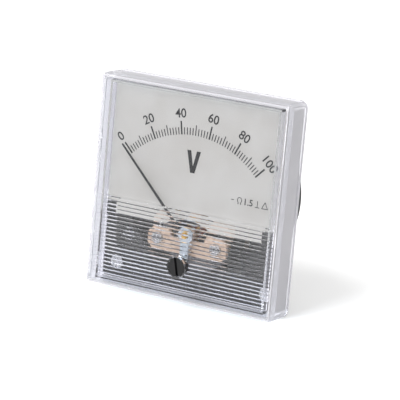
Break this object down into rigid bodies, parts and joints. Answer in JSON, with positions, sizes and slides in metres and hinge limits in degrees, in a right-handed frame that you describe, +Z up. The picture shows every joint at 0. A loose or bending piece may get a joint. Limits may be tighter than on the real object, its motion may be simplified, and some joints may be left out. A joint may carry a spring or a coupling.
{
  "type": "analog panel meter",
  "caption": "Square panel meter with a clear ribbed cover, a 90 degree scale and pointer, a zero adjuster, a round rear barrel, mounting studs and rear terminals.",
  "frame": {"origin": "centre of the panel seat behind the flange, on the axis of the round barrel", "axes": "-Y out of the dial towards the reader, +Y into the panel, +X to the reader's right, +Z up"},
  "size_m": [0.08, 0.0453, 0.08],
  "materials": {
    "clear_plastic": "polished",
    "black_plastic": "moulded",
    "dial_paint": "matt",
    "black_ink": "matt",
    "beige_plastic": "moulded",
    "soft_iron": "plated",
    "magnet": "ground",
    "brass": "turned",
    "nickel": "plated",
    "jewel": "polished",
    "spring_bronze": "rolled",
    "lever_steel": "satin",
    "pointer_paint": "matt",
    "aluminium": "drawn",
    "copper_wire": "enamelled",
    "tinned": "tinned",
    "resistor_lacquer": "lacquered",
    "red_sleeve": "extruded"
  },
  "bodies": {
    "case": {"front_cover": "clear_plastic", "rear_housing": "black_plastic", "dial_plate": "dial_paint", "scale_marks": "black_ink", "front_bridge": "beige_plastic", "rear_bridge": "beige_plastic", "yoke_ring": "soft_iron", "magnet_core": "magnet", "core_bar": "brass", "spacer_posts": "brass", "movement_screws": "nickel", "stop_pins": "nickel", "front_jewel_screw": "brass", "front_jewel_nut": "brass", "front_jewel": "jewel", "rear_jewel_screw": "brass", "rear_jewel": "jewel", "rear_hairspring": "spring_bronze", "rear_spring_lug": "brass", "terminal_studs": "brass", "solder_tags": "tinned", "terminal_washers": "brass", "spring_washers": "nickel", "terminal_nuts": "brass", "inner_nuts": "brass", "mounting_studs": "nickel", "series_resistor": "resistor_lacquer", "resistor_leads": "tinned", "coil_leads": "red_sleeve"},
    "zero_screw": {"zero_screw": "black_plastic", "zero_screw_clip": "nickel"},
    "zero_lever": {"zero_lever": "lever_steel", "front_hairspring": "spring_bronze"},
    "moving_coil": {"pointer": "pointer_paint", "pointer_hub": "brass", "balance_weights": "nickel", "coil_former": "aluminium", "coil_winding": "copper_wire", "pivot_needles": "nickel"}
  },
  "joints": [
    {"name": "zero_screw_turn", "type": "hinge", "parent": "case", "child": "zero_screw", "pos_m": [0, -0.0128, -0.0263], "axis": [0, 1, 0], "range_deg": [-40, 40]},
    {"name": "zero_lever_turn", "type": "hinge", "parent": "case", "child": "zero_lever", "pos_m": [0, -0.009, -0.0151], "axis": [0, 1, 0], "range_deg": [-8, 8]},
    {"name": "pointer_turn", "type": "hinge", "parent": "zero_lever", "child": "moving_coil", "pos_m": [0, 0, -0.0151], "axis": [0, 1, 0], "range_deg": [0, 90], "stiffness_Nm_per_rad": 0.00002}
  ],
  "couplings": [
    {"joint": "zero_lever_turn", "follows": "zero_screw_turn", "ratio": -0.113}
  ]
}
